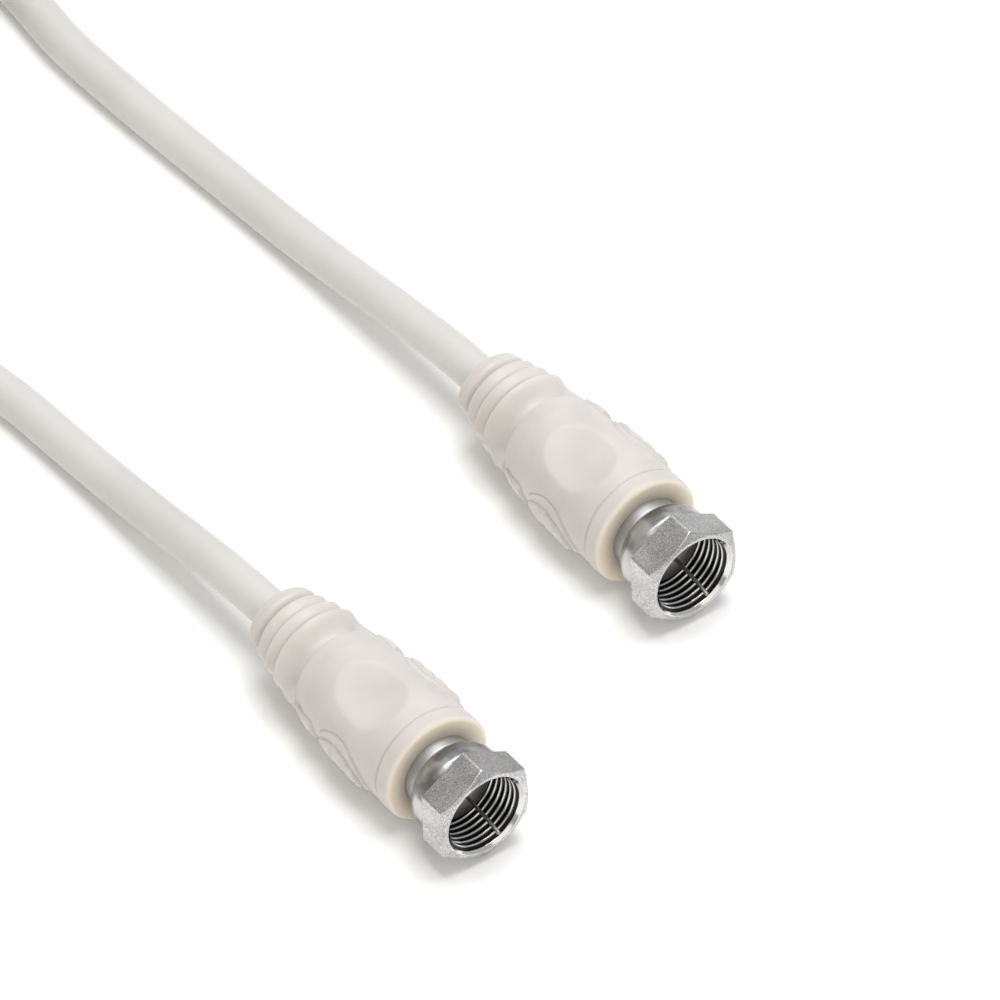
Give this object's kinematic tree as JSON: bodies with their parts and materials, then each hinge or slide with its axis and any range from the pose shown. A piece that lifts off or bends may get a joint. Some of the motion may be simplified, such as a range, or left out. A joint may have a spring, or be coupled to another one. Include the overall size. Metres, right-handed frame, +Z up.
{
  "type": "coaxial lead with moulded F plugs",
  "caption": "Slim coaxial lead with a ribbed moulded boot, a free-turning hex coupling nut and a centre pin at each end, its spare length coiled and tied",
  "frame": {"origin": "on the surface that the lead lies on, under the middle of the box round the two plugs", "axes": "+X along both plugs' axes towards their mouths, +Z up, +Y towards plug A"},
  "size_m": [0.1996, 0.0818, 0.0132],
  "materials": {
    "boot_vinyl": "moulded flexible PVC, fine satin",
    "jacket_vinyl": "extruded PVC, satin",
    "nickel_plate": "tumbled nickel plate",
    "foam_dielectric": "foamed polyethylene",
    "centre_conductor": "tinned wire",
    "tie_plastic": "smooth plastic band"
  },
  "bodies": {
    "root": {"boot_a": "boot_vinyl", "ferrule_a": "nickel_plate", "dielectric_a": "foam_dielectric", "pin_a": "centre_conductor", "boot_b": "boot_vinyl", "ferrule_b": "nickel_plate", "dielectric_b": "foam_dielectric", "pin_b": "centre_conductor", "cable_a": "jacket_vinyl", "cable_b": "jacket_vinyl", "cable_coil": "jacket_vinyl", "coil_tie": "tie_plastic"},
    "nut_a": {"nut_a": "nickel_plate"},
    "nut_b": {"nut_b": "nickel_plate"}
  },
  "joints": [
    {"name": "nut_a_spin", "type": "hinge", "parent": "root", "child": "nut_a", "pos_m": [0.0054, 0.0196, 0.0066], "axis": [1, 0, 0], "continuous": true},
    {"name": "nut_b_spin", "type": "hinge", "parent": "root", "child": "nut_b", "pos_m": [0.0218, -0.0196, 0.0066], "axis": [1, 0, 0], "continuous": true}
  ]
}
